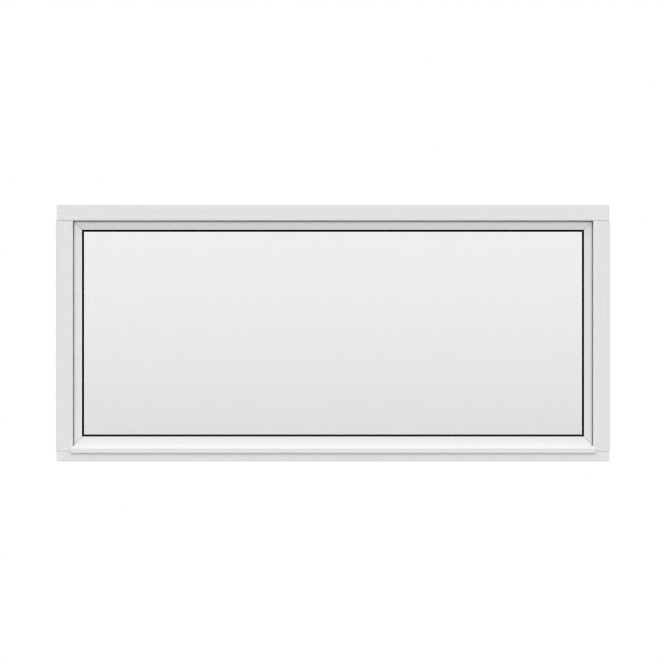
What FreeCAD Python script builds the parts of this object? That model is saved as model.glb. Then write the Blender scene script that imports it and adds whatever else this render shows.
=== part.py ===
"""Fixed picture window: a painted timber frame, a triple glazed unit and aluminium glazing beads.

Millimetres. X runs along the window, to the right as seen from outside, Y runs from outside to the
room, and Z is up. The origin is the middle of the window's footprint, at the underside of the sill.

Two measures place every profile:
depth   how far a point lies behind the frame's front plane
out     how far a point lies outside the rectangle drawn by the free edges of the beads' lips
"""

import FreeCAD
import Part

import math
import os

# Overall size, over the jambs, the head and the sill
OVERALL_WIDTH = 1490.0
OVERALL_HEIGHT = 690.0
FRAME_DEPTH = 115.0

# Timber frame
JAMB_FACE = 45.9
HEAD_FACE = 43.1
SILL_FRONT_HEIGHT = 27.3
SILL_SLOPE_DEG = 12.0
END_SETBACK = 2.0  # the head and the sill end this much inside the jambs' outer faces
STEP_DEPTH = 28.0  # the front face of the step that the beads are pressed on
INNER_SIGHT_SETBACK = 3.4  # the inner stop shows this much more glass than the gasket does
FRONT_EDGE_RADIUS = 4.0
ROOM_EDGE_RADIUS = 4.0
OUTER_EDGE_RADIUS = 1.5
SILL_NOSE_RADIUS = 1.8
JOINT_GROOVE_WIDTH = 1.4
JOINT_GROOVE_DEPTH = 3.0
DRIP_GROOVE_RADIUS = 3.0
DRIP_GROOVE_DEPTH = 13.0  # from the front plane to the middle of the groove under the sill

# Groove in the room face for the edge of a lining board
LINING_GROOVE_WIDTH = 12.5
LINING_GROOVE_DEPTH = 10.0
LINING_GROOVE_INSET = 12.0  # from the overall outline

# Holes for the screws that fix the jambs to the wall
FIXING_HOLE_RADIUS = 4.25
FIXING_HEAD_RADIUS = 7.0
FIXING_HEAD_SINK = 12.0
FIXING_DEPTH = 88.0
FIXING_END_DISTANCE = 160.0  # from the top and the bottom of the window

# Countersunk holes for the screws that join the corners of the frame
CORNER_SCREW_RADIUS = 2.3
CORNER_SCREW_LENGTH = 16.0
CORNER_SCREW_HEAD_RADIUS = 5.0
CORNER_SCREW_HEAD_SINK = 0.6
CORNER_SCREW_DEPTHS = (34.0, 84.0)
CORNER_SCREW_INSET = 23.0  # from the jambs' outer faces

# Glass unit
PANE_THICKNESS = 4.0
PANE_ARRIS = 0.6
CAVITY = 12.0
PANE_COUNT = 3
GLASS_DEPTH = 34.0  # the outer face of the outer pane
GLASS_COVER = 15.0  # glass hidden behind the outer gasket and the bead
GLASS_EDGE_CLEARANCE = 4.5
SPACER_HEIGHT = 7.0
SPACER_CORNER = 2.0
EDGE_SEAL = 4.0
SETTING_BLOCK_LENGTH = 100.0
SETTING_BLOCK_THICKNESS = 5.0
SETTING_BLOCK_END_DISTANCE = 150.0  # from the glass edge to the middle of the block

# Gaskets
GASKET_THICKNESS = 4.0
GASKET_SHOW = 5.7
GASKET_SEAT = 9.0
GASKET_TIP = 0.8
GASKET_BULGE = 0.5  # how far the lip's back stands out from a straight slope
TAPE_THICKNESS = 4.0
TAPE_HEIGHT = 10.0
TAPE_SETBACK = 0.5  # the tape lies this much behind the edge of the inner stop

# Aluminium beads
BEAD_GAP = 2.7  # the open joint between the frame and the beads
MITRE_GAP = 0.8  # the open joint in each mitre, measured along the head and the bottom bead
BEAD_FACE = 21.5
BEAD_WALL = 2.0
BEAD_FRONT_DEPTH = 14.0
BEAD_BEVEL_WIDTH = 15.0  # from the lip to the ridge
BEAD_BEVEL_DEG = 24.0
BEAD_BACK_DEG = 20.0  # the shorter bevel, from the ridge towards the frame
BEAD_RIDGE_RADIUS = 3.0
BEAD_SHOULDER_RADIUS = 2.5
BEAD_LIP_RADIUS = 0.4
BEAD_FOOT = 6.0
TONGUE_LENGTH = 10.0
KERF_SIDE_CLEARANCE = 0.15
KERF_END_CLEARANCE = 1.0
TONGUE_END_CLEARANCE = 0.5

# Bottom bead with its drip nose
COVE_RISE = 20.25
COVE_FRONT_DEPTH = 12.0
COVE_END_DEG = 15.0  # how far the cove has turned from upright where the slope starts
SLOPE_RISE = 11.5
NOSE_PROJECTION = 6.0
NOSE_HEIGHT = 12.1
NOSE_DROP = 4.55  # the nose hangs this much below the sill's front edge
NOSE_RADIUS = 2.0
NOSE_FOOT_RADIUS = 0.6
DRIP_TONGUE_BELOW_FLOOR = 8.0
DRIP_WALL_ABOVE_SLOPE = 2.5
DRIP_END_CLEARANCE = 0.5
END_CAP_THICKNESS = 3.0

# Rectangle of the beads' lips
LIP_HALF_WIDTH = OVERALL_WIDTH / 2 - JAMB_FACE - BEAD_GAP - BEAD_FACE
LIP_TOP = OVERALL_HEIGHT - HEAD_FACE - BEAD_GAP - BEAD_FACE
LIP_BOTTOM = SILL_FRONT_HEIGHT - NOSE_DROP + NOSE_HEIGHT + SLOPE_RISE + COVE_RISE

# Depths, from the frame's front plane
FRONT_Y = (NOSE_PROJECTION - FRAME_DEPTH) / 2
UNIT_THICKNESS = PANE_COUNT * PANE_THICKNESS + (PANE_COUNT - 1) * CAVITY
GLASS_BACK_DEPTH = GLASS_DEPTH + UNIT_THICKNESS
STOP_DEPTH = GLASS_BACK_DEPTH + TAPE_THICKNESS
LIP_BACK_DEPTH = GLASS_DEPTH - GASKET_THICKNESS
SEAT_DEPTH = LIP_BACK_DEPTH - BEAD_WALL
TONGUE_DEPTH = STEP_DEPTH + TONGUE_LENGTH
KERF_DEPTH = TONGUE_DEPTH + KERF_END_CLEARANCE

# Places measured out from the lips
FRAME_OUT = BEAD_FACE + BEAD_GAP
STOP_OUT = INNER_SIGHT_SETBACK - GASKET_SHOW
GLASS_OUT = GLASS_COVER - GASKET_SHOW
FLOOR_OUT = GLASS_OUT + GLASS_EDGE_CLEARANCE
SILL_FLOOR_OUT = GLASS_OUT + SETTING_BLOCK_THICKNESS
NOSE_TOP_OUT = COVE_RISE + SLOPE_RISE
NOSE_BOTTOM_OUT = NOSE_TOP_OUT + NOSE_HEIGHT
DRIP_TONGUE_OUT = SILL_FLOOR_OUT + DRIP_TONGUE_BELOW_FLOOR

# How far a cutting solid reaches past what it cuts
MARGIN = 20.0


def y_at(depth):
    return FRONT_Y + depth


class Outline:
    """A closed outline in two measures, with rounded corners and arcs."""

    def __init__(self):
        self.steps = []

    def to(self, a, b, radius=0.0):
        """A straight edge to a corner, rounded where a radius is given."""
        self.steps.append(("corner", (a, b), radius))
        return self

    def arc(self, via, end):
        """An arc from the last point, through one point and to another."""
        self.steps.append(("arc", end, via))
        return self

    def face(self, place):
        """The outline's face in space, where place(a, b) gives a point of it."""
        edges = []
        first = last = None
        for index, (kind, point, extra) in enumerate(self.steps):
            arc_via = extra if kind == "arc" else None
            start = end = point
            if kind == "corner" and extra > 0:
                before = self.steps[index - 1][1]
                after = self.steps[(index + 1) % len(self.steps)][1]
                start, corner_via, end = rounded_corner(before, point, after, extra)
            if last is None:
                first = start
            elif arc_via:
                edges.append(Part.Arc(place(*last), place(*arc_via), place(*start)).toShape())
            else:
                edges.append(Part.LineSegment(place(*last), place(*start)).toShape())
            if start != end:
                edges.append(Part.Arc(place(*start), place(*corner_via), place(*end)).toShape())
            last = end
        edges.append(Part.LineSegment(place(*last), place(*first)).toShape())
        return Part.Face(Part.Wire(edges))


def rounded_corner(before, corner, after, radius):
    """Start, middle and end of the arc that rounds a corner between two straight edges."""
    towards = []
    for point in (before, after):
        length = math.dist(point, corner)
        towards.append(((point[0] - corner[0]) / length, (point[1] - corner[1]) / length))
    (ax, ay), (bx, by) = towards
    half_angle = math.acos(max(-1.0, min(1.0, ax * bx + ay * by))) / 2
    reach = radius / math.tan(half_angle)
    middle_reach = radius / math.sin(half_angle) - radius
    bisector = math.hypot(ax + bx, ay + by)
    start = (corner[0] + ax * reach, corner[1] + ay * reach)
    end = (corner[0] + bx * reach, corner[1] + by * reach)
    middle = (
        corner[0] + (ax + bx) / bisector * middle_reach,
        corner[1] + (ay + by) / bisector * middle_reach,
    )
    return start, middle, end


# The four sides of the window

def out_point(side, out, depth, along):
    """A point of one side, from its distance out, its depth and its place along the side."""
    if side == "left":
        return FreeCAD.Vector(-LIP_HALF_WIDTH - out, y_at(depth), along)
    if side == "right":
        return FreeCAD.Vector(LIP_HALF_WIDTH + out, y_at(depth), along)
    if side == "head":
        return FreeCAD.Vector(along, y_at(depth), LIP_TOP + out)
    return FreeCAD.Vector(along, y_at(depth), LIP_BOTTOM - out)


def run(outline, side, start, end):
    """A straight length of a profile along one side of the window."""
    face = outline.face(lambda out, depth: out_point(side, out, depth, start))
    return face.extrude(out_point(side, 0, 0, end) - out_point(side, 0, 0, start))


def mitre_zone(side, inner, outer, inset=0.0):
    """The wedge of space that belongs to one side, between its two mitres.

    For the head and the sill an inset can be left out at each end."""
    corners = {
        "head": ((-1, 1), (1, 1)),
        "sill": ((-1, -1), (1, -1)),
        "left": ((-1, -1), (-1, 1)),
        "right": ((1, -1), (1, 1)),
    }[side]

    def corner_point(corner, out):
        across, up = corner
        level = LIP_TOP + out if up > 0 else LIP_BOTTOM - out
        return FreeCAD.Vector(across * (LIP_HALF_WIDTH + out - inset), y_at(-FRAME_DEPTH), level)

    first, second = corners
    points = [
        corner_point(first, inner),
        corner_point(second, inner),
        corner_point(second, outer),
        corner_point(first, outer),
    ]
    face = Part.Face(Part.makePolygon(points + points[:1]))
    return face.extrude(FreeCAD.Vector(0, 3 * FRAME_DEPTH, 0))


def mitred_run(outline, side, inner, outer, inset=0.0):
    """A length of a profile along one side, mitred at both ends."""
    if side in ("left", "right"):
        start, end = -MARGIN, OVERALL_HEIGHT + MARGIN
    else:
        start, end = -OVERALL_WIDTH, OVERALL_WIDTH
    return run(outline, side, start, end).common(mitre_zone(side, inner, outer, inset))


def box(x_from, x_to, depth_from, depth_to, z_from, z_to):
    corner = FreeCAD.Vector(x_from, y_at(depth_from), z_from)
    return Part.makeBox(x_to - x_from, depth_to - depth_from, z_to - z_from, corner)


# Timber frame

def frame_outline(frame_out):
    """Section of the head and the jambs: the face, the step with its kerf, the rebate and the stop."""
    kerf_outer = BEAD_FACE + KERF_SIDE_CLEARANCE
    kerf_inner = BEAD_FACE - BEAD_WALL - KERF_SIDE_CLEARANCE
    outline = Outline()
    outline.to(frame_out, 0, OUTER_EDGE_RADIUS).to(FRAME_OUT, 0)
    outline.to(FRAME_OUT, STEP_DEPTH)
    outline.to(kerf_outer, STEP_DEPTH).to(kerf_outer, KERF_DEPTH)
    outline.to(kerf_inner, KERF_DEPTH).to(kerf_inner, STEP_DEPTH)
    outline.to(FLOOR_OUT, STEP_DEPTH).to(FLOOR_OUT, STOP_DEPTH)
    outline.to(STOP_OUT, STOP_DEPTH).to(STOP_OUT, FRAME_DEPTH)
    outline.to(frame_out, FRAME_DEPTH, OUTER_EDGE_RADIUS)
    return outline


def sill_outline():
    """Section of the sill: the sloped front, the step with its kerf, the rebate and the stop."""
    kerf_top = DRIP_TONGUE_OUT - KERF_SIDE_CLEARANCE
    kerf_bottom = DRIP_TONGUE_OUT + BEAD_WALL + KERF_SIDE_CLEARANCE
    outline = Outline()
    outline.to(LIP_BOTTOM, 0, OUTER_EDGE_RADIUS)
    outline.to(LIP_BOTTOM - SILL_FRONT_HEIGHT, 0, SILL_NOSE_RADIUS)
    outline.to(slope_out(STEP_DEPTH), STEP_DEPTH)
    outline.to(kerf_bottom, STEP_DEPTH).to(kerf_bottom, KERF_DEPTH)
    outline.to(kerf_top, KERF_DEPTH).to(kerf_top, STEP_DEPTH)
    outline.to(SILL_FLOOR_OUT, STEP_DEPTH).to(SILL_FLOOR_OUT, STOP_DEPTH)
    outline.to(STOP_OUT, STOP_DEPTH).to(STOP_OUT, FRAME_DEPTH)
    outline.to(LIP_BOTTOM, FRAME_DEPTH, OUTER_EDGE_RADIUS)
    outline.to(LIP_BOTTOM, DRIP_GROOVE_DEPTH + DRIP_GROOVE_RADIUS)
    outline.arc(
        (LIP_BOTTOM - DRIP_GROOVE_RADIUS, DRIP_GROOVE_DEPTH),
        (LIP_BOTTOM, DRIP_GROOVE_DEPTH - DRIP_GROOVE_RADIUS),
    )
    return outline


def slope_out(depth):
    """Where the sill's sloped top lies at a depth."""
    return LIP_BOTTOM - SILL_FRONT_HEIGHT - depth * math.tan(math.radians(SILL_SLOPE_DEG))


def head_space():
    """The space that the head takes from the jambs' upper ends, which are scribed to its section."""
    outline = Outline()
    top = FRAME_OUT + HEAD_FACE + MARGIN
    outline.to(top, -MARGIN).to(FRAME_OUT, -MARGIN).to(FRAME_OUT, STEP_DEPTH)
    outline.to(FLOOR_OUT, STEP_DEPTH).to(FLOOR_OUT, STOP_DEPTH)
    outline.to(STOP_OUT, STOP_DEPTH).to(STOP_OUT, FRAME_DEPTH + MARGIN)
    outline.to(top, FRAME_DEPTH + MARGIN)
    return run(outline, "head", -OVERALL_WIDTH, OVERALL_WIDTH)


def sill_space():
    """The space that the sill takes from the jambs' lower ends, which are scribed to its section."""
    outline = Outline()
    bottom = LIP_BOTTOM + MARGIN
    outline.to(bottom, -MARGIN).to(LIP_BOTTOM - SILL_FRONT_HEIGHT, -MARGIN)
    outline.to(LIP_BOTTOM - SILL_FRONT_HEIGHT, 0).to(slope_out(STEP_DEPTH), STEP_DEPTH)
    outline.to(SILL_FLOOR_OUT, STEP_DEPTH).to(SILL_FLOOR_OUT, STOP_DEPTH)
    outline.to(STOP_OUT, STOP_DEPTH).to(STOP_OUT, FRAME_DEPTH + MARGIN)
    outline.to(bottom, FRAME_DEPTH + MARGIN)
    return run(outline, "sill", -OVERALL_WIDTH, OVERALL_WIDTH)


def round_over(out, depth, radius, facing):
    """Section that takes a square edge of the opening down to a round one.

    facing is -1 for an edge of the front and 1 for an edge of the room face."""
    middle = radius * (1 - math.sqrt(0.5))
    outline = Outline()
    outline.to(out - MARGIN, depth - facing * radius)
    outline.to(out, depth - facing * radius)
    outline.arc((out + middle, depth - facing * middle), (out + radius, depth))
    outline.to(out + radius, depth + facing * MARGIN)
    outline.to(out - MARGIN, depth + facing * MARGIN)
    return outline


def front_round_over():
    """The rounded front edge along the jambs and the head, mitred in the two top corners."""
    outline = round_over(FRAME_OUT, 0, FRONT_EDGE_RADIUS, -1)
    inner, outer = FRAME_OUT - MARGIN / 2, FRAME_OUT + FRONT_EDGE_RADIUS
    sides = [mitred_run(outline, "head", inner, outer)]
    for side in ("left", "right"):
        below = run(outline, side, -MARGIN, OVERALL_HEIGHT / 2)
        above = mitred_run(outline, side, inner, outer)
        sides.append(below.fuse(above))
    return sides


def room_round_over():
    """The rounded room edge around the inner stop, mitred in the four corners."""
    outline = round_over(STOP_OUT, FRAME_DEPTH, ROOM_EDGE_RADIUS, 1)
    inner, outer = STOP_OUT - MARGIN / 2, STOP_OUT + ROOM_EDGE_RADIUS
    return [mitred_run(outline, side, inner, outer) for side in ("head", "sill", "left", "right")]


def joint_grooves():
    """The fine grooves that mark the joints of the jambs with the head and the sill."""
    half = JOINT_GROOVE_WIDTH / 2
    joints = [
        ("head", FRAME_OUT, 0, -1, FRAME_OUT),
        ("sill", LIP_BOTTOM - SILL_FRONT_HEIGHT, 0, -1, FRAME_OUT),
        ("head", STOP_OUT, FRAME_DEPTH, 1, STOP_OUT),
        ("sill", STOP_OUT, FRAME_DEPTH, 1, STOP_OUT),
    ]
    grooves = []
    for side, out, depth, facing, inner_end in joints:
        floor, mouth = depth - facing * JOINT_GROOVE_DEPTH, depth + facing * MARGIN
        outline = Outline()
        outline.to(out - half, floor).to(out + half, floor)
        outline.to(out + half, mouth).to(out - half, mouth)
        near, far = LIP_HALF_WIDTH + inner_end, OVERALL_WIDTH / 2 + MARGIN
        grooves.append(run(outline, side, -far, -near))
        grooves.append(run(outline, side, near, far))
    return grooves


def lining_groove():
    """The groove around the room face that takes the edge of a lining board."""
    half = OVERALL_WIDTH / 2 - LINING_GROOVE_INSET
    low, high = LINING_GROOVE_INSET, OVERALL_HEIGHT - LINING_GROOVE_INSET
    floor, mouth = FRAME_DEPTH - LINING_GROOVE_DEPTH, FRAME_DEPTH + MARGIN
    width = LINING_GROOVE_WIDTH
    outer = box(-half, half, floor, mouth, low, high)
    inner = box(-half + width, half - width, floor - MARGIN, mouth + MARGIN, low + width, high - width)
    return outer.cut(inner)


def fixing_holes(side):
    """The drilled and counterbored screw holes of one jamb."""
    facing = -1 if side == "left" else 1
    reveal = LIP_HALF_WIDTH + STOP_OUT
    outer_face = OVERALL_WIDTH / 2
    direction = FreeCAD.Vector(facing, 0, 0)
    holes = []
    for level in (FIXING_END_DISTANCE, OVERALL_HEIGHT - FIXING_END_DISTANCE):
        start = FreeCAD.Vector(facing * (reveal - MARGIN), y_at(FIXING_DEPTH), level)
        length = outer_face - reveal + 2 * MARGIN
        holes.append(Part.makeCylinder(FIXING_HOLE_RADIUS, length, start, direction))
        holes.append(Part.makeCylinder(FIXING_HEAD_RADIUS, MARGIN + FIXING_HEAD_SINK, start, direction))
    return holes


def corner_screw_holes():
    """The countersunk holes in the top of the head and the underside of the sill."""
    holes = []
    for level, down in ((OVERALL_HEIGHT, -1), (0.0, 1)):
        for across in (-1, 1):
            for depth in CORNER_SCREW_DEPTHS:
                x = across * (OVERALL_WIDTH / 2 - CORNER_SCREW_INSET)
                mouth = FreeCAD.Vector(x, y_at(depth), level)
                holes += countersunk_hole(mouth, FreeCAD.Vector(0, 0, down))
    return holes


def countersunk_hole(mouth, direction):
    """A screw hole with a flat sink and a cone for the screw's head."""
    cone = CORNER_SCREW_HEAD_RADIUS - CORNER_SCREW_RADIUS
    seat = mouth + direction * CORNER_SCREW_HEAD_SINK
    return [
        Part.makeCylinder(CORNER_SCREW_HEAD_RADIUS, CORNER_SCREW_HEAD_SINK, mouth, direction),
        Part.makeCone(CORNER_SCREW_HEAD_RADIUS, CORNER_SCREW_RADIUS, cone, seat, direction),
        Part.makeCylinder(CORNER_SCREW_RADIUS, CORNER_SCREW_LENGTH, mouth, direction),
    ]


def eased_ends(end):
    """The space of the head and the sill, with rounded edges around the faces of their ends."""
    radius = OUTER_EDGE_RADIUS
    plan = Outline()
    plan.to(-end, 0, radius).to(end, 0, radius)
    plan.to(end, FRAME_DEPTH, radius).to(-end, FRAME_DEPTH, radius)
    upright = plan.face(lambda x, depth: FreeCAD.Vector(x, y_at(depth), 0))
    front = Outline()
    front.to(-end, 0, radius).to(end, 0, radius)
    front.to(end, OVERALL_HEIGHT, radius).to(-end, OVERALL_HEIGHT, radius)
    level = front.face(lambda x, z: FreeCAD.Vector(x, y_at(0), z))
    return upright.extrude(FreeCAD.Vector(0, 0, OVERALL_HEIGHT)).common(
        level.extrude(FreeCAD.Vector(0, FRAME_DEPTH, 0))
    )


def frame_members():
    shared_cuts = joint_grooves() + [lining_groove()] + corner_screw_holes()
    front_edges, room_edges = front_round_over(), room_round_over()
    end = OVERALL_WIDTH / 2 - END_SETBACK
    ends = eased_ends(end)
    head = run(frame_outline(FRAME_OUT + HEAD_FACE), "head", -end, end).common(ends)
    sill = run(sill_outline(), "sill", -end, end).common(ends)
    members = {
        "frame_head": head.cut(front_edges + room_edges + shared_cuts),
        "frame_sill": sill.cut(room_edges + shared_cuts),
    }
    for side in ("left", "right"):
        jamb = run(frame_outline(FRAME_OUT + JAMB_FACE), side, 0, OVERALL_HEIGHT)
        jamb = jamb.cut([head_space(), sill_space()])
        jamb = jamb.cut(front_edges + room_edges + shared_cuts + fixing_holes(side))
        members[f"frame_jamb_{side}"] = jamb
    return members


# Aluminium beads

class Cove:
    """The hollow face of the drip bead: an arc that starts upright at the lip and turns outwards."""

    def __init__(self):
        turn = math.radians(COVE_END_DEG)
        self.radius = COVE_RISE / math.sin(turn)
        self.lip_depth = COVE_FRONT_DEPTH + self.radius * (1 - math.cos(turn))
        self.centre_depth = self.lip_depth - self.radius

    def point(self, out, inside=0.0):
        """The point of the face at a distance out, or of a face this much inside it."""
        return out, self.centre_depth + math.sqrt((self.radius + inside) ** 2 - out**2)

    def middle(self, first, second, inside=0.0):
        """A point of the face, half way out between two others."""
        return self.point((first[0] + second[0]) / 2, inside)


def bead_outline():
    """Section of the head and side beads: lip, two bevels, shoulder, tongue, foot and gasket seat."""
    bevel, back = math.radians(BEAD_BEVEL_DEG), math.radians(BEAD_BACK_DEG)
    ridge = (BEAD_BEVEL_WIDTH, BEAD_FRONT_DEPTH)
    inward, lean = BEAD_WALL / math.cos((bevel + back) / 2), (bevel - back) / 2
    inner_ridge = (ridge[0] + inward * math.sin(lean), ridge[1] + inward * math.cos(lean))
    inner_side = BEAD_FACE - BEAD_WALL
    lip_depth = ridge[1] + ridge[0] * math.tan(bevel)
    inner_lip_depth = inner_ridge[1] + (inner_ridge[0] - BEAD_WALL) * math.tan(bevel)
    shoulder_depth = ridge[1] + (BEAD_FACE - ridge[0]) * math.tan(back)
    inner_shoulder_depth = inner_ridge[1] + (inner_side - inner_ridge[0]) * math.tan(back)
    foot = BEAD_FACE - BEAD_FOOT
    outline = Outline()
    outline.to(0, LIP_BACK_DEPTH).to(0, lip_depth, BEAD_LIP_RADIUS)
    outline.to(*ridge, BEAD_RIDGE_RADIUS)
    outline.to(BEAD_FACE, shoulder_depth, BEAD_SHOULDER_RADIUS)
    outline.to(BEAD_FACE, TONGUE_DEPTH).to(inner_side, TONGUE_DEPTH)
    outline.to(inner_side, STEP_DEPTH).to(foot, STEP_DEPTH)
    outline.to(foot, STEP_DEPTH - BEAD_WALL).to(inner_side, STEP_DEPTH - BEAD_WALL)
    outline.to(inner_side, inner_shoulder_depth, BEAD_SHOULDER_RADIUS - BEAD_WALL)
    outline.to(*inner_ridge).to(BEAD_WALL, inner_lip_depth)
    outline.to(BEAD_WALL, SEAT_DEPTH).to(GASKET_SEAT, SEAT_DEPTH).to(GASKET_SEAT, LIP_BACK_DEPTH)
    return outline


def drip_front(outline, cove):
    """Adds the outer face of the drip bead, from the back of its lip to the foot of its nose."""
    eased = BEAD_LIP_RADIUS * (1 - math.sqrt(0.5))
    lip = cove.point(BEAD_LIP_RADIUS)
    cove_end = (COVE_RISE, COVE_FRONT_DEPTH)
    outline.to(0, LIP_BACK_DEPTH).to(0, cove.lip_depth + BEAD_LIP_RADIUS)
    outline.arc((eased, cove.lip_depth + eased), lip)
    outline.arc(cove.middle(lip, cove_end), cove_end)
    outline.to(NOSE_TOP_OUT, -NOSE_PROJECTION, NOSE_RADIUS)
    outline.to(NOSE_BOTTOM_OUT, -NOSE_PROJECTION, NOSE_FOOT_RADIUS)


def drip_wall_foot():
    """Where the drip bead's back wall ends, above the sill's slope."""
    return slope_out(STEP_DEPTH) - DRIP_WALL_ABOVE_SLOPE


def drip_bead_outline():
    """Section of the bottom bead: lip, cove, slope, drip nose, back wall, tongue and gasket seat."""
    cove = Cove()
    slope_run = COVE_FRONT_DEPTH + NOSE_PROJECTION
    slope = math.hypot(SLOPE_RISE, slope_run)
    slope_in = (
        COVE_RISE + BEAD_WALL * slope_run / slope,
        COVE_FRONT_DEPTH + BEAD_WALL * SLOPE_RISE / slope,
    )
    nose_back = BEAD_WALL - NOSE_PROJECTION
    nose_in = slope_in[0] + (slope_in[1] - nose_back) * SLOPE_RISE / slope_run
    wall_front = STEP_DEPTH - BEAD_WALL
    lip_in = cove.point(BEAD_WALL, BEAD_WALL)
    outline = Outline()
    drip_front(outline, cove)
    outline.to(NOSE_BOTTOM_OUT, nose_back, NOSE_FOOT_RADIUS)
    outline.to(nose_in, nose_back).to(*slope_in)
    outline.arc(cove.middle(slope_in, lip_in, BEAD_WALL), lip_in)
    outline.to(BEAD_WALL, wall_front).to(drip_wall_foot(), wall_front).to(drip_wall_foot(), STEP_DEPTH)
    outline.to(DRIP_TONGUE_OUT + BEAD_WALL, STEP_DEPTH)
    outline.to(DRIP_TONGUE_OUT + BEAD_WALL, TONGUE_DEPTH)
    outline.to(DRIP_TONGUE_OUT, TONGUE_DEPTH).to(DRIP_TONGUE_OUT, STEP_DEPTH)
    outline.to(GASKET_SEAT, STEP_DEPTH).to(GASKET_SEAT, LIP_BACK_DEPTH)
    return outline


def end_cap_outline():
    """Outline of the drip bead's end caps, which close its whole section and its nose."""
    outline = Outline()
    drip_front(outline, Cove())
    outline.to(NOSE_BOTTOM_OUT, -DRIP_END_CLEARANCE, NOSE_FOOT_RADIUS)
    outline.to(drip_wall_foot(), -DRIP_END_CLEARANCE).to(drip_wall_foot(), STEP_DEPTH)
    outline.to(GASKET_SEAT, STEP_DEPTH).to(GASKET_SEAT, LIP_BACK_DEPTH)
    return outline


def jamb_front(side):
    """The front of a jamb with room around it, to which the drip bead's end is scribed."""
    room = DRIP_END_CLEARANCE
    outline = Outline()
    outline.to(FRAME_OUT + JAMB_FACE + MARGIN, -room)
    outline.to(FRAME_OUT - room, -room, FRONT_EDGE_RADIUS + room)
    outline.to(FRAME_OUT - room, STEP_DEPTH)
    outline.to(FRAME_OUT + JAMB_FACE + MARGIN, STEP_DEPTH)
    return run(outline, side, -MARGIN, OVERALL_HEIGHT / 2)


def side_bead_trim():
    """The ends of the side beads' tongues, cut off where the head and the sill run past."""
    front = STEP_DEPTH
    low = LIP_BOTTOM - SILL_FLOOR_OUT + TONGUE_END_CLEARANCE
    high = LIP_TOP + FLOOR_OUT - TONGUE_END_CLEARANCE
    half = OVERALL_WIDTH / 2
    return [
        box(-half, half, front, FRAME_DEPTH, -MARGIN, low),
        box(-half, half, front, FRAME_DEPTH, high, OVERALL_HEIGHT + MARGIN),
    ]


def drip_space(inset):
    """The space of the drip bead between its mitres and of its nose, less an inset at each end."""
    nose_end = LIP_HALF_WIDTH + NOSE_TOP_OUT - inset
    nose = box(-nose_end, nose_end, -FRAME_DEPTH, FRAME_DEPTH, -MARGIN, LIP_BOTTOM - NOSE_TOP_OUT)
    return mitre_zone("sill", -MARGIN, NOSE_TOP_OUT, inset).fuse(nose)


def drip_bead():
    """The bottom bead between the jambs, and the caps on its two ends."""
    far = OVERALL_WIDTH / 2
    jambs = [jamb_front("left"), jamb_front("right")]
    bead_space = drip_space(MITRE_GAP + END_CAP_THICKNESS)
    bead = run(drip_bead_outline(), "sill", -far, far).common(bead_space).cut(jambs)
    pieces = {"drip_bead": bead}
    for side, start, end in (("left", -far, 0), ("right", 0, far)):
        cap = run(end_cap_outline(), "sill", start, end).common(drip_space(MITRE_GAP))
        pieces[f"drip_end_cap_{side}"] = cap.cut([bead_space] + jambs)
    return pieces


def beads():
    pieces = drip_bead()
    outline, reach = bead_outline(), BEAD_FACE + MARGIN
    pieces["bead_head"] = mitred_run(outline, "head", -MARGIN, reach, MITRE_GAP)
    for side in ("left", "right"):
        bead = mitred_run(outline, side, -MARGIN, reach)
        pieces[f"bead_{side}"] = bead.cut(side_bead_trim())
    return pieces


# Glazing

def gasket_outline():
    """Section of the outer gasket, with its sloped lip showing past the bead."""
    tip_depth = GLASS_DEPTH - GASKET_TIP
    rise = tip_depth - LIP_BACK_DEPTH
    slope = math.hypot(GASKET_SHOW, rise)
    middle = (
        -GASKET_SHOW / 2 - GASKET_BULGE * rise / slope,
        LIP_BACK_DEPTH + rise / 2 - GASKET_BULGE * GASKET_SHOW / slope,
    )
    outline = Outline()
    outline.to(GASKET_SEAT, GLASS_DEPTH).to(GASKET_SEAT, LIP_BACK_DEPTH).to(0, LIP_BACK_DEPTH)
    outline.arc(middle, (-GASKET_SHOW, tip_depth))
    outline.to(-GASKET_SHOW, GLASS_DEPTH)
    return outline


def tape_outline():
    """Section of the glazing tape between the inner pane and the inner stop."""
    inner = STOP_OUT + TAPE_SETBACK
    outline = Outline()
    outline.to(inner, GLASS_BACK_DEPTH).to(inner, STOP_DEPTH)
    outline.to(inner + TAPE_HEIGHT, STOP_DEPTH).to(inner + TAPE_HEIGHT, GLASS_BACK_DEPTH)
    return outline


def spacer_outline(depth):
    """Section of a spacer bar that fills the cavity behind a depth, with its outer corners cut off."""
    outer = GLASS_OUT - EDGE_SEAL
    inner = outer - SPACER_HEIGHT
    back = depth + CAVITY
    outline = Outline()
    outline.to(inner, depth).to(outer - SPACER_CORNER, depth).to(outer, depth + SPACER_CORNER)
    outline.to(outer, back - SPACER_CORNER).to(outer - SPACER_CORNER, back).to(inner, back)
    return outline


def pane(depth):
    half = LIP_HALF_WIDTH + GLASS_OUT
    sheet = box(-half, half, depth, depth + PANE_THICKNESS, LIP_BOTTOM - GLASS_OUT, LIP_TOP + GLASS_OUT)
    face_edges = [edge for edge in sheet.Edges if abs(edge.tangentAt(edge.FirstParameter).y) < 0.5]
    return sheet.makeChamfer(PANE_ARRIS, face_edges)


def setting_block(side):
    middle = LIP_HALF_WIDTH + GLASS_OUT - SETTING_BLOCK_END_DISTANCE
    if side == "left":
        middle = -middle
    start, end = middle - SETTING_BLOCK_LENGTH / 2, middle + SETTING_BLOCK_LENGTH / 2
    floor = LIP_BOTTOM - SILL_FLOOR_OUT
    return box(start, end, GLASS_DEPTH, GLASS_BACK_DEPTH, floor, floor + SETTING_BLOCK_THICKNESS)


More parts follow.
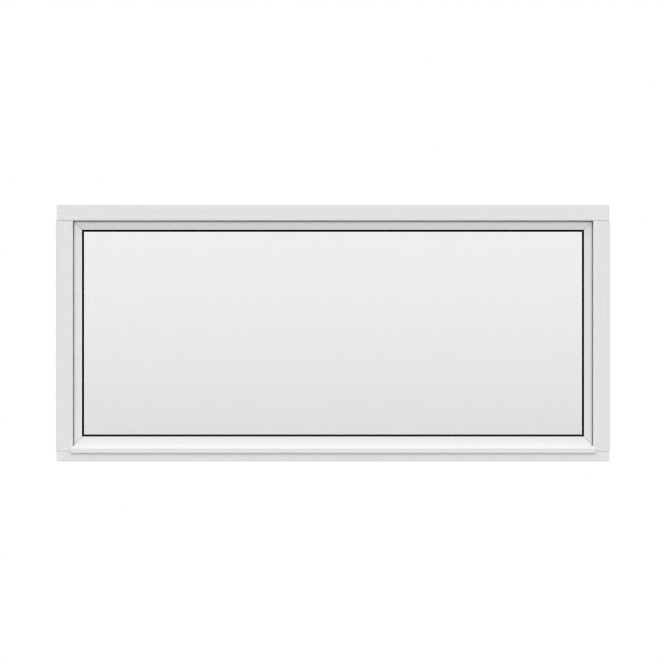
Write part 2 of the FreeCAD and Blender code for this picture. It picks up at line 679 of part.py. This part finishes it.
def glazing():
    pieces = {}
    pitch = PANE_THICKNESS + CAVITY
    for index, name in enumerate(("outer", "middle", "inner")[:PANE_COUNT]):
        pieces[f"glass_{name}"] = pane(GLASS_DEPTH + index * pitch)
    reach = GLASS_OUT + MARGIN
    for side in ("head", "sill", "left", "right"):
        pieces[f"outer_gasket_{side}"] = mitred_run(gasket_outline(), side, -MARGIN, reach)
        pieces[f"inner_tape_{side}"] = mitred_run(tape_outline(), side, -MARGIN, reach)
        for index, name in enumerate(("outer", "inner")[: PANE_COUNT - 1]):
            depth = GLASS_DEPTH + PANE_THICKNESS + index * pitch
            pieces[f"{name}_spacer_{side}"] = mitred_run(spacer_outline(depth), side, -MARGIN, reach)
    for side in ("left", "right"):
        pieces[f"setting_block_{side}"] = setting_block(side)
    return pieces


def main():
    os.makedirs("parts", exist_ok=True)
    pieces = {**frame_members(), **beads(), **glazing()}
    for name, shape in pieces.items():
        solids = shape.removeSplitter().Solids
        print(name, len(solids), "solid", round(sum(s.Volume for s in solids) / 1000, 1), "cm3")
        Part.makeCompound(solids).exportStep(f"parts/{name}.step")


main()
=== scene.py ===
"""Finishes of a fixed picture window, and the plain studio that it stands in.

Metres. The timber, beads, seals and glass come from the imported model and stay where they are. This
script paints them, adds the small fasteners and sets the light and the camera.
"""

import math

import bpy
from bpy.props import FloatProperty, FloatVectorProperty, PointerProperty
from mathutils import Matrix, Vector


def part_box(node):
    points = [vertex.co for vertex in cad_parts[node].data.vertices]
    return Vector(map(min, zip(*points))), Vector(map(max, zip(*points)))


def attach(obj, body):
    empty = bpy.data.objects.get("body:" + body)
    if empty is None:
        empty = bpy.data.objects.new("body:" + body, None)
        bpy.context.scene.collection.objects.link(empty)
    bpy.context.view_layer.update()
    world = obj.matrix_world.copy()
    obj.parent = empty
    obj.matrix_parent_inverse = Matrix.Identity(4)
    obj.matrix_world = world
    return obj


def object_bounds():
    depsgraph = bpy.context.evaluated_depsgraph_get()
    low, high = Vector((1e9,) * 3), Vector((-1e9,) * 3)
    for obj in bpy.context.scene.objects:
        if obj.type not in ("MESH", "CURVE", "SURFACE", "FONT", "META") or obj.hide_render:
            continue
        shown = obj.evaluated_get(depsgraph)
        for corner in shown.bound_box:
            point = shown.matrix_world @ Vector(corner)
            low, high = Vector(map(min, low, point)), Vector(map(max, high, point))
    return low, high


bl_info = {
    "name": "Fixed picture window",
    "version": (1, 0, 0),
    "blender": (4, 5, 0),
    "location": "3D View > Sidebar > Window",
    "description": "Finishes a glazed timber window and sets up a studio around it",
    "category": "Object",
}

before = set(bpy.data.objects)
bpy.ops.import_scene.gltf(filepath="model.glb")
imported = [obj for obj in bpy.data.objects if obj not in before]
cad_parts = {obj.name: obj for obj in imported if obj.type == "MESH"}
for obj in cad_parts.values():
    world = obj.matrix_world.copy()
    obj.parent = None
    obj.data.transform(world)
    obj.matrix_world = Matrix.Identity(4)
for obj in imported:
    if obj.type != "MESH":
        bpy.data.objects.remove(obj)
CAD_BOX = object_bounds()
PHOTO_PIXELS = 665
QUARTER_TURN = (math.pi / 2, 0, 0)  # about the X axis
WHITE = (1, 1, 1)

LYING_TIMBER = ("frame_head", "frame_sill")
STANDING_TIMBER = ("frame_jamb_left", "frame_jamb_right")
BEADS = ("bead_head", "bead_left", "bead_right", "drip_bead")
END_CAPS = ("drip_end_cap_left", "drip_end_cap_right")
PANES = ("glass_outer", "glass_middle", "glass_inner")
SIDES = ("head", "sill", "left", "right")
GASKETS = tuple(f"outer_gasket_{side}" for side in SIDES)
TAPES = tuple(f"inner_tape_{side}" for side in SIDES)
SPACERS = tuple(f"{cavity}_spacer_{side}" for cavity in ("outer", "inner") for side in SIDES)
BLOCKS = ("setting_block_left", "setting_block_right")

# The way from the window to each soft box.
SOFT_BOXES = {
    "key": (0, -1, 1),
    "overhead": (0, 0, 1),
    "beside": (1, 0, 0),
    "behind": (0, 1, 0),
}
SOFT_BOX_FOCUS = 2.0  # the higher it is, the smaller the soft boxes seem
CARD_FALL = 1.6  # above 1, the card dims faster towards its foot

SCREW_SIDES = 32
SCREW_POINT = 0.12  # how much of the shank is left at the end of its point
STAR_POINTS = 6
STAR_WAIST = 0.72  # how far the star narrows between its points
SMOOTH_ANGLE = math.radians(30)

GRAIN_STRETCH = 25  # how many times longer than wide the figures of the grain are
PERFORATION_FLOOR = 0.14  # radius of a hole in a spacer, as a share of the pitch
PERFORATION_RIM = 0.20  # radius at the top of its rounded rim

WAVE_LENGTH = math.pi / 10  # of a Wave texture whose scale is 1
# The colour sockets of a Mix node, which share their names with its other sockets.
MIX_SHARE, MIX_FIRST, MIX_SECOND, MIX_RESULT = 0, 6, 7, 2


# Settings

def colour(name, description, default):
    return FloatVectorProperty(
        name=name, description=description, default=default, size=3, min=0, max=1, subtype="COLOR"
    )


def length(name, description, default):
    return FloatProperty(name=name, description=description, default=default, min=0, unit="LENGTH")


def share(name, description, default):
    return FloatProperty(
        name=name, description=description, default=default, min=0, max=1, subtype="FACTOR"
    )


def pixels(name, description, default):
    return FloatProperty(name=name, description=description, default=default, subtype="PIXEL")


def brightness(name, description, default):
    return FloatProperty(name=name, description=description, default=default, min=0)


class TimberSettings(bpy.types.PropertyGroup):
    """The paint on the frame and the grain that shows under it."""

    paint: colour("Paint", "Colour of the paint", (0.765, 0.765, 0.757))
    shade: colour("Shade", "Colour where the paint lies thinner", (0.738, 0.738, 0.728))
    roughness: share("Roughness", "Roughness of the satin paint", 0.42)
    uneven: share("Unevenness", "How far the roughness goes up and down", 0.05)
    patch: length("Patches", "Size of the patches of thinner paint", 0.12)
    grain: length("Grain", "Distance between the lines of the grain", 0.022)
    grain_depth: length("Grain depth", "How deep the grain shows in the paint", 0.00012)
    peel: length("Peel", "Size of the fine ripples in the sprayed paint", 0.0015)
    peel_depth: length("Peel depth", "Depth of the fine ripples", 0.00004)


class BeadSettings(bpy.types.PropertyGroup):
    """The powder coating on the aluminium beads and the plastic of their end caps."""

    coating: colour("Coating", "Colour of the powder coating", (0.768, 0.766, 0.749))
    cap: colour("End caps", "Colour of the end caps", (0.758, 0.756, 0.738))
    roughness: share("Roughness", "Roughness of the coating", 0.34)
    uneven: share("Unevenness", "How far the roughness goes up and down", 0.04)
    peel: length("Peel", "Size of the ripples in the coating", 0.0009)
    peel_depth: length("Peel depth", "Depth of the ripples", 0.00003)


class GlazingSettings(bpy.types.PropertyGroup):
    """The glass unit and its seals."""

    glass: colour("Glass", "What one pane lets through", (0.961, 0.961, 0.960))
    gasket: colour("Gasket", "Colour of the outer gasket", (0.004, 0.004, 0.0043))
    tape: colour("Tape", "Colour of the inner glazing tape", (0.16, 0.16, 0.165))
    spacer: colour("Spacer", "Colour of the spacer bars", (0.42, 0.43, 0.44))
    block: colour("Blocks", "Colour of the setting blocks", (0.05, 0.05, 0.055))
    perforation_pitch: length("Perforation pitch", "Distance between the holes in a spacer", 0.0036)


class ScrewSettings(bpy.types.PropertyGroup):
    """The countersunk screws that join the corners of the frame."""

    steel: colour("Steel", "Colour of the plated steel", (0.62, 0.60, 0.54))
    inset: length("Inset", "From a jamb's outer face to the screw", 0.023)
    front_depth: length("Front depth", "From the frame's front to the first screw", 0.034)
    back_depth: length("Back depth", "From the frame's front to the second screw", 0.084)
    sink: length("Sink", "How far the head lies below the timber", 0.0006)
    head_radius: length("Head radius", "Radius of the head", 0.0048)
    shank_radius: length("Shank radius", "Radius of the shank", 0.0021)
    shank: length("Shank", "Length of the shank below the head", 0.0095)
    tip: length("Tip", "Length of the pointed end", 0.0025)
    star_radius: length("Star radius", "Radius of the star recess", 0.0024)
    star_depth: length("Star depth", "Depth of the star recess", 0.0018)


class StudioSettings(bpy.types.PropertyGroup):
    """The light, the floor and the camera."""

    pixel: length("Pixel", "What one pixel of the picture covers", 0.0026885)
    across: pixels("Across", "How far the window lies right of the middle", 0.5)
    down: pixels("Down", "How far the window lies below the middle", 0.5)
    distance: length("Distance", "From the camera to the window", 3.0)
    softness: pixels("Softness", "Width over which each pixel is smoothed", 1.2)
    backdrop: brightness("Backdrop", "Brightness behind the window", 1.0)
    light: brightness("Light", "Even light from all sides", 0.565)
    light_tint: colour("Light tint", "Colour of the even light", (1.0, 0.987, 0.935))
    key: brightness("Key light", "Soft box above and in front of the window", 1.101)
    overhead: brightness("Overhead", "Soft box above the window", 0.454)
    beside: brightness("Beside", "Soft box at the right of the window", 0.129)
    behind: brightness("Behind", "Soft box behind the window", 0.421)
    box_tint: colour("Soft box tint", "Colour of the soft boxes", (0.921, 0.937, 1.0))
    floor: colour("Floor", "Colour of the floor", (0.62, 0.62, 0.62))
    floor_clear: length("Clear floor", "How far the floor reaches before it fades", 1.0)
    floor_reach: length("Floor reach", "How far the floor reaches before it is gone", 2.15)
    card_top: brightness("Card top", "Brightness at the top of the glass", 0.84)
    card_bottom: brightness("Card bottom", "Brightness at the foot of the glass", 0.135)
    card_distance: length("Card distance", "From the reflected card to the window", 5.0)


# Finishes

class Nodes:
    """The nodes of a material or of the world."""

    def __init__(self, tree):
        self.tree = tree

    def node(self, kind, sockets=(), **settings):
        """A new node with its settings made and its sockets fed."""
        made = self.tree.nodes.new(kind)
        for key, value in settings.items():
            setattr(made, key, value)
        for key, value in dict(sockets).items():
            self.feed(made.inputs[key], value)
        return made

    def feed(self, socket, value):
        """Links an output to the socket, or sets a plain value on it."""
        if isinstance(value, bpy.types.NodeSocket):
            self.tree.links.new(value, socket)
        else:
            socket.default_value = value

    def maths(self, operation, *values):
        """The result of an operation on numbers."""
        return self.node("ShaderNodeMath", dict(enumerate(values)), operation=operation).outputs[0]

    def background(self, tint, strength):
        """Light that comes from all around."""
        sockets = {"Color": (*tint, 1), "Strength": strength}
        return self.node("ShaderNodeBackground", sockets).outputs[0]

    def mix(self, value, first, second):
        """A shader between two others."""
        return self.node("ShaderNodeMixShader", {0: value, 1: first, 2: second}).outputs[0]


class Finish(Nodes):
    """A material with one Principled shader and the nodes that feed it."""

    def __init__(self, name):
        self.material = bpy.data.materials.new(name)
        self.material.use_nodes = True
        super().__init__(self.material.node_tree)
        self.shader = self.tree.nodes["Principled BSDF"]
        self.place = self.node("ShaderNodeTexCoord").outputs["Object"]

    def stretched(self, scale):
        """Object coordinates, scaled along each axis."""
        sockets = {"Vector": self.place, "Scale": scale}
        return self.node("ShaderNodeMapping", sockets).outputs["Vector"]

    def noise(self, size, detail=2.0, vector=None):
        """Noise whose bumps are about this size."""
        sockets = {"Vector": vector or self.place, "Scale": 1 / size, "Detail": detail}
        return self.node("ShaderNodeTexNoise", sockets).outputs["Fac"]

    def spread(self, value, low, high):
        """A value from 0 to 1 as one from low to high."""
        sockets = {"Value": value, "To Min": low, "To Max": high}
        return self.node("ShaderNodeMapRange", sockets).outputs["Result"]

    def around(self, value, middle, reach):
        """A value from 0 to 1 as one that goes up and down from a middle."""
        return self.spread(value, middle - reach, middle + reach)

    def blend(self, value, first, second):
        """A colour between two others."""
        sockets = {MIX_SHARE: value, MIX_FIRST: (*first, 1), MIX_SECOND: (*second, 1)}
        return self.node("ShaderNodeMix", sockets, data_type="RGBA").outputs[MIX_RESULT]

    def bump(self, height, depth, below=None):
        """A bumped normal, laid over another one."""
        sockets = {"Height": height, "Distance": depth, "Strength": 1.0}
        made = self.node("ShaderNodeBump", sockets)
        if below:
            self.feed(made.inputs["Normal"], below)
        return made.outputs["Normal"]

    def near_middle(self, whole, gone):
        """How much is left of a surface that is whole near its middle and fades from there."""
        reach = self.node("ShaderNodeVectorMath", {0: self.place}, operation="LENGTH")
        return self.node(
            "ShaderNodeMapRange",
            {"Value": reach.outputs["Value"], "From Min": gone, "From Max": whole},
            interpolation_type="SMOOTHSTEP",
        ).outputs["Result"]

    def mirrored(self):
        """1 for what is seen in a reflection, 0 for what is seen straight or through glass."""
        return self.maths("MINIMUM", self.node("ShaderNodeLightPath").outputs["Glossy Depth"], 1)

    def lamp(self, strength):
        """A shader that gives off white light."""
        return self.node("ShaderNodeEmission", {"Strength": strength}).outputs[0]

    def nothing(self):
        """A shader that hides nothing behind it."""
        return self.node("ShaderNodeBsdfTransparent").outputs[0]

    def show(self, shader):
        """Gives the surface another shader than the Principled one alone."""
        self.feed(self.tree.nodes["Material Output"].inputs["Surface"], shader)

    def set(self, **sockets):
        """Sets sockets of the shader, named with underscores for spaces."""
        for key, value in sockets.items():
            value = (*value, 1) if isinstance(value, tuple) else value
            self.feed(self.shader.inputs[key.replace("_", " ")], value)
        return self.material


def scaled(tint, times):
    """A colour made paler or darker."""
    return tuple(min(1.0, part * times) for part in tint)


def painted_timber(name, along, settings):
    """Satin paint over planed timber whose grain runs along one axis."""
    finish = Finish(name)
    stretch = [1.0, 1.0, 1.0]
    stretch["XYZ".index(along)] = 1 / GRAIN_STRETCH
    grained = finish.stretched(stretch)
    rings = finish.node(
        "ShaderNodeTexWave",
        {
            "Vector": grained,
            "Scale": WAVE_LENGTH / settings.grain,
            "Distortion": 9.0,
            "Detail": 3.0,
            "Detail Scale": 1.4,
            "Detail Roughness": 0.6,
        },
        wave_type="RINGS",
        rings_direction=along,
    ).outputs["Fac"]
    grain = finish.bump(rings, settings.grain_depth)
    patches = finish.noise(settings.patch, detail=3.0, vector=grained)
    thin = finish.maths("MULTIPLY", rings, patches)
    return finish.set(
        Base_Color=finish.blend(thin, settings.paint, settings.shade),
        Roughness=finish.around(patches, settings.roughness, settings.uneven),
        Normal=finish.bump(finish.noise(settings.peel), settings.peel_depth, below=grain),
        Specular_IOR_Level=0.45,
    )


def coated_metal(name, tint, settings):
    """Powder coating with fine ripples, or moulded plastic of the same look."""
    finish = Finish(name)
    ripples = finish.noise(settings.peel, detail=1.0)
    return finish.set(
        Base_Color=finish.blend(finish.noise(size=0.09), tint, scaled(tint, times=1.015)),
        Roughness=finish.around(finish.noise(size=0.05), settings.roughness, settings.uneven),
        Normal=finish.bump(ripples, settings.peel_depth),
    )


def clear_glass(settings):
    """Float glass, lightly tinted."""
    finish = Finish("clear float glass")
    return finish.set(
        Base_Color=tuple(settings.glass), Roughness=0.0, IOR=1.5, Transmission_Weight=1.0
    )


def black_rubber(settings):
    """Matte extruded rubber."""
    finish = Finish("black gasket rubber")
    grain = finish.noise(size=0.0006, detail=3.0)
    greyer = scaled(settings.gasket, times=1.8)
    return finish.set(
        Base_Color=finish.blend(finish.noise(size=0.02), settings.gasket, greyer),
        Roughness=finish.spread(grain, low=0.6, high=0.78),
        Normal=finish.bump(grain, depth=0.00002),
        Specular_IOR_Level=0.08,
    )


def foam_tape(settings):
    """Closed cell foam with fine pores, painted darker in their pits as painted shade."""
    finish = Finish("grey glazing tape")
    pores = finish.noise(size=0.0005, detail=4.0)
    # Darker where the pores dip: painted shade in the pits, following the bump.
    return finish.set(
        Base_Color=finish.blend(pores, scaled(settings.tape, times=0.7), settings.tape),
        Roughness=finish.spread(pores, low=0.75, high=0.9),
        Normal=finish.bump(pores, depth=0.00008),
        Specular_IOR_Level=0.25,
    )


def spacer_bar(settings):
    """Satin spacer bar with rows of fine holes for the drying agent, the holes painted dark as
    painted shade.
    """
    finish = Finish("perforated spacer bar")
    holes = finish.node(
        "ShaderNodeTexVoronoi",
        {"Vector": finish.place, "Scale": 1 / settings.perforation_pitch, "Randomness": 0.0},
    ).outputs["Distance"]
    solid = finish.node(
        "ShaderNodeMapRange",
        {"Value": holes, "From Min": PERFORATION_FLOOR, "From Max": PERFORATION_RIM},
    ).outputs["Result"]
    # The holes are painted nearly black: painted shade inside them, as the mesh has no real holes.
    return finish.set(
        Base_Color=finish.blend(solid, scaled(settings.spacer, times=0.25), settings.spacer),
        Roughness=finish.spread(finish.noise(size=0.01), low=0.38, high=0.5),
        Normal=finish.bump(solid, depth=0.0003),
    )


def moulded_block(settings):
    """Hard moulded plastic."""
    finish = Finish("moulded block plastic")
    grain = finish.noise(size=0.0008)
    paler = scaled(settings.block, times=1.3)
    return finish.set(
        Base_Color=finish.blend(finish.noise(size=0.01), settings.block, paler),
        Roughness=finish.spread(grain, low=0.45, high=0.6),
        Normal=finish.bump(grain, depth=0.00002),
    )


def plated_steel(settings):
    """Zinc plated steel, a little uneven."""
    finish = Finish("zinc plated steel")
    clouds = finish.noise(size=0.002, detail=3.0)
    return finish.set(
        Base_Color=finish.blend(clouds, scaled(settings.steel, times=0.82), settings.steel),
        Metallic=1.0,
        Roughness=finish.spread(clouds, low=0.28, high=0.42),
        Normal=finish.bump(finish.noise(size=0.0003), depth=0.000004),
    )


def dress(nodes, material):
    """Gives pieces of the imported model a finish."""
    for name in nodes:
        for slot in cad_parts[name].material_slots:
            slot.material = material


# Operators

class PaintTimber(bpy.types.Operator):
    """Paint the head, the sill and the jambs"""

    bl_idname = "window.paint_timber"
    bl_label = "Paint timber"

    def execute(self, context):
        settings = context.scene.window_timber
        dress(LYING_TIMBER, painted_timber("white paint on lying timber", "X", settings))
        dress(STANDING_TIMBER, painted_timber("white paint on standing timber", "Z", settings))
        return {"FINISHED"}


class CoatBeads(bpy.types.Operator):
    """Coat the beads and colour their end caps"""

    bl_idname = "window.coat_beads"
    bl_label = "Coat beads"

    def execute(self, context):
        settings = context.scene.window_beads
        dress(BEADS, coated_metal("white powder coating", settings.coating, settings))
        dress(END_CAPS, coated_metal("white cap plastic", settings.cap, settings))
        return {"FINISHED"}


class GlazeUnit(bpy.types.Operator):
    """Finish the panes, the spacer bars and the setting blocks"""

    bl_idname = "window.glaze_unit"
    bl_label = "Glaze"

    def execute(self, context):
        settings = context.scene.window_glazing
        dress(PANES, clear_glass(settings))
        dress(SPACERS, spacer_bar(settings))
        dress(BLOCKS, moulded_block(settings))
        return {"FINISHED"}


class FitSeals(bpy.types.Operator):
    """Finish the outer gasket and the inner glazing tape"""

    bl_idname = "window.fit_seals"
    bl_label = "Fit seals"

    def execute(self, context):
        settings = context.scene.window_glazing
        dress(GASKETS, black_rubber(settings))
        dress(TAPES, foam_tape(settings))
        return {"FINISHED"}


class DriveScrews(bpy.types.Operator):
    """Make the screws in the top of the head and in the underside of the sill"""

    bl_idname = "window.drive_screws"
    bl_label = "Drive screws"

    def execute(self, context):
        settings = context.scene.window_screws
        pattern = countersunk_screw(settings)
        pattern.data.materials.append(plated_steel(settings))
        for name, place, turn in screw_places(settings):
            screw = pattern.copy()
            screw.data = pattern.data.copy()
            screw.name = screw.data.name = name
            context.collection.objects.link(screw)
            select_only(screw)
            screw.location = place
            screw.rotation_euler.x = turn
            bpy.ops.object.transform_apply()
            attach(screw, "root")
        bpy.data.objects.remove(pattern)
        return {"FINISHED"}


def screw_places(settings):
    """Each screw's name, the middle of its head's face, and its turn about the X axis."""
    jamb_low, jamb_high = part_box("frame_jamb_right")
    across = jamb_high.x - settings.inset
    members = {
        "head": (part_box("frame_head")[1].z - settings.sink, 0),
        "sill": (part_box("frame_sill")[0].z + settings.sink, math.pi),
    }
    sides = {"left": -across, "right": across}
    rows = {"front": settings.front_depth, "back": settings.back_depth}
    for member, (level, turn) in members.items():
        for side, x in sides.items():
            for row, depth in rows.items():
                yield f"screw_{member}_{side}_{row}", (x, jamb_low.y + depth, level), turn


def select_only(piece):
    """Selects one piece and makes it the active one."""
    bpy.ops.object.select_all(action="DESELECT")
    piece.select_set(True)
    bpy.context.view_layer.objects.active = piece


def countersunk_screw(settings):
    """A screw that hangs from the origin, with the face of its head at the origin's level."""
    bpy.ops.object.select_all(action="DESELECT")
    bpy.ops.mesh.primitive_circle_add(
        vertices=SCREW_SIDES, radius=settings.head_radius, fill_type="NGON"
    )
    screw = bpy.context.object
    bpy.ops.object.mode_set(mode="EDIT")
    cone = settings.head_radius - settings.shank_radius
    narrowing = settings.shank_radius / settings.head_radius
    for drop, shrink in ((cone, narrowing), (settings.shank, 1.0), (settings.tip, SCREW_POINT)):
        bpy.ops.mesh.extrude_region_move(TRANSFORM_OT_translate={"value": (0, 0, -drop)})
        bpy.ops.transform.resize(value=(shrink, shrink, 1))
    bpy.ops.mesh.select_all(action="SELECT")
    bpy.ops.mesh.normals_make_consistent(inside=False)
    bpy.ops.object.mode_set(mode="OBJECT")
    sink_star(screw, settings)
    bpy.ops.object.shade_smooth_by_angle(angle=SMOOTH_ANGLE)
    return screw


def sink_star(screw, settings):
    """Cuts the star shaped recess for the driver into a screw's head."""
    bpy.ops.object.select_all(action="DESELECT")
    bpy.ops.mesh.primitive_cylinder_add(
        vertices=2 * STAR_POINTS, radius=settings.star_radius, depth=2 * settings.star_depth
    )
    star = bpy.context.object
    # Every second corner goes in and makes the star's waist.
    for vertex in star.data.vertices:
        corner = round(math.atan2(vertex.co.y, vertex.co.x) * STAR_POINTS / math.pi)
        vertex.select = corner % 2 == 0
    for edge in star.data.edges:
        edge.select = all(star.data.vertices[index].select for index in edge.vertices)
    for face in star.data.polygons:
        face.select = False
    bpy.ops.object.mode_set(mode="EDIT")
    bpy.ops.transform.resize(value=(STAR_WAIST, STAR_WAIST, 1))
    bpy.ops.object.mode_set(mode="OBJECT")
    select_only(screw)
    cut = screw.modifiers.new("recess", "BOOLEAN")
    cut.operation = "DIFFERENCE"
    cut.object = star
    bpy.ops.object.modifier_apply(modifier=cut.name)
    bpy.data.objects.remove(star)


class SetStudio(bpy.types.Operator):
    """Lay the floor, light the window and place the camera"""

    bl_idname = "window.set_studio"
    bl_label = "Set studio"

    def execute(self, context):
        settings = context.scene.window_studio
        lay_floor(settings)
        hang_card(settings)
        light_studio(context.scene, settings)
        place_camera(context.scene, settings)
        set_picture(context.scene, settings)
        return {"FINISHED"}


def lay_floor(settings):
    """A pale floor that fades into the backdrop."""
    bpy.ops.object.select_all(action="DESELECT")
    bpy.ops.mesh.primitive_plane_add(size=2 * settings.floor_reach, location=(0, 0, CAD_BOX[0].z))
    floor = bpy.context.object
    floor.name = "floor"
    finish = Finish("pale floor")
    paler = scaled(settings.floor, times=1.03)
    mottle = finish.blend(finish.noise(size=0.4, detail=4.0), settings.floor, paler)
    floor.data.materials.append(finish.set(Base_Color=mottle, Roughness=0.8))
    left = finish.near_middle(settings.floor_clear, settings.floor_reach)
    # Seen straight, the floor fades into light as bright as the backdrop, because one that turns
    # clear leaves streaks in the glass. Reflections see through it to the card.
    beyond = finish.mix(finish.mirrored(), finish.lamp(settings.backdrop), finish.nothing())
    finish.show(finish.mix(left, beyond, finish.shader.outputs[0]))
    finish.material.cycles.emission_sampling = "NONE"  # it lights nothing
    # As on a light table, the soft light also reaches the window from below.
    floor.visible_diffuse = False
    floor.visible_shadow = False


def hang_card(settings):
    """A card in front of the window that only its gloss reflects, bright above and dim below."""
    low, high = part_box("glass_outer")
    size = high - low
    place = (0, low.y - settings.card_distance, (low.z + high.z) / 2)
    bpy.ops.object.select_all(action="DESELECT")
    bpy.ops.mesh.primitive_plane_add(size=2 * size.x, location=place, rotation=QUARTER_TURN)
    card = bpy.context.object
    card.name = "front_card"
    bpy.ops.object.transform_apply(location=False, rotation=True, scale=False)
    finish = Finish("graded card")
    level = finish.node("ShaderNodeSeparateXYZ", {"Vector": finish.place}).outputs["Z"]
    drop = finish.node(
        "ShaderNodeMapRange", {"Value": level, "From Min": size.z / 2, "From Max": -size.z / 2}
    ).outputs["Result"]
    dimming = finish.maths("POWER", drop, CARD_FALL)
    glow = finish.spread(dimming, settings.card_top, settings.card_bottom)
    left = finish.maths("MULTIPLY", finish.near_middle(size.x / 2, size.x), finish.mirrored())
    finish.show(finish.mix(left, finish.nothing(), finish.lamp(glow)))
    card.data.materials.append(finish.material)
    card.visible_camera = False
    card.visible_diffuse = False
    card.visible_shadow = False


def light_studio(scene, settings):
    """Even light and soft boxes around the window, before a plain white backdrop."""
    world = bpy.data.worlds.new("soft studio")
    world.use_nodes = True
    world.node_tree.nodes.clear()
    scene.world = world
    nodes = Nodes(world.node_tree)
    way = nodes.node("ShaderNodeTexCoord").outputs["Generated"]
    glow = 0.0
    for name, towards in SOFT_BOXES.items():
        sockets = {0: way, 1: Vector(towards).normalized()}
        facing = nodes.node("ShaderNodeVectorMath", sockets, operation="DOT_PRODUCT")
        towards_box = nodes.maths("MAXIMUM", facing.outputs["Value"], 0)
        lobe = nodes.maths("POWER", towards_box, SOFT_BOX_FOCUS)
        glow = nodes.maths("MULTIPLY_ADD", lobe, getattr(settings, name), glow)
    rays = nodes.node("ShaderNodeLightPath").outputs
    seen = nodes.maths("MAXIMUM", rays["Is Camera Ray"], rays["Is Transmission Ray"])
    even_light = nodes.background(settings.light_tint, settings.light)
    boxes = nodes.background(settings.box_tint, glow)
    backdrop = nodes.background(WHITE, settings.backdrop)
    soft_light = nodes.node("ShaderNodeAddShader", {0: even_light, 1: boxes}).outputs[0]
    nodes.node("ShaderNodeOutputWorld", {"Surface": nodes.mix(seen, soft_light, backdrop)})


def place_camera(scene, settings):
    """A camera square in front, without perspective, framed as the picture is."""
    middle = (CAD_BOX[0] + CAD_BOX[1]) / 2
    place = Vector((
        middle.x - settings.across * settings.pixel,
        CAD_BOX[0].y - settings.distance,
        middle.z + settings.down * settings.pixel,
    ))
    bpy.ops.object.camera_add(location=place, rotation=QUARTER_TURN)
    camera = bpy.context.object
    camera.data.type = "ORTHO"
    camera.data.ortho_scale = settings.pixel * PHOTO_PIXELS
    scene.camera = camera


def set_picture(scene, settings):
    """Plain tones, crisp thin lines, and glass that lets light through in full."""
    scene.view_settings.view_transform = "Standard"
    scene.cycles.filter_width = settings.softness
    scene.cycles.blur_glossy = 0.0


class WindowPanel(bpy.types.Panel):
    """The steps that finish the window"""

    bl_idname = "VIEW3D_PT_window"
    bl_label = "Fixed picture window"
    bl_space_type = "VIEW_3D"
    bl_region_type = "UI"
    bl_category = "Window"

    def draw(self, context):
        for step in STEPS:
            self.layout.operator(step.bl_idname)
        for name in SETTINGS:
            box = self.layout.box()
            group = getattr(context.scene, name)
            for key in group.bl_rna.properties.keys():
                if key not in ("rna_type", "name"):
                    box.prop(group, key)


STEPS = (PaintTimber, CoatBeads, GlazeUnit, FitSeals, DriveScrews, SetStudio)
SETTINGS = {
    "window_timber": TimberSettings,
    "window_beads": BeadSettings,
    "window_glazing": GlazingSettings,
    "window_screws": ScrewSettings,
    "window_studio": StudioSettings,
}


def register():
    for group in SETTINGS.values():
        bpy.utils.register_class(group)
    for name, group in SETTINGS.items():
        setattr(bpy.types.Scene, name, PointerProperty(type=group))
    for shown in (*STEPS, WindowPanel):
        bpy.utils.register_class(shown)


def unregister():
    for shown in reversed((*STEPS, WindowPanel)):
        bpy.utils.unregister_class(shown)
    for name in SETTINGS:
        delattr(bpy.types.Scene, name)
    for group in reversed(SETTINGS.values()):
        bpy.utils.unregister_class(group)


def main():
    register()
    bpy.ops.window.paint_timber()
    bpy.ops.window.coat_beads()
    bpy.ops.window.glaze_unit()
    bpy.ops.window.fit_seals()
    bpy.ops.window.drive_screws()
    bpy.ops.window.set_studio()


if __name__ == "__main__":
    main()
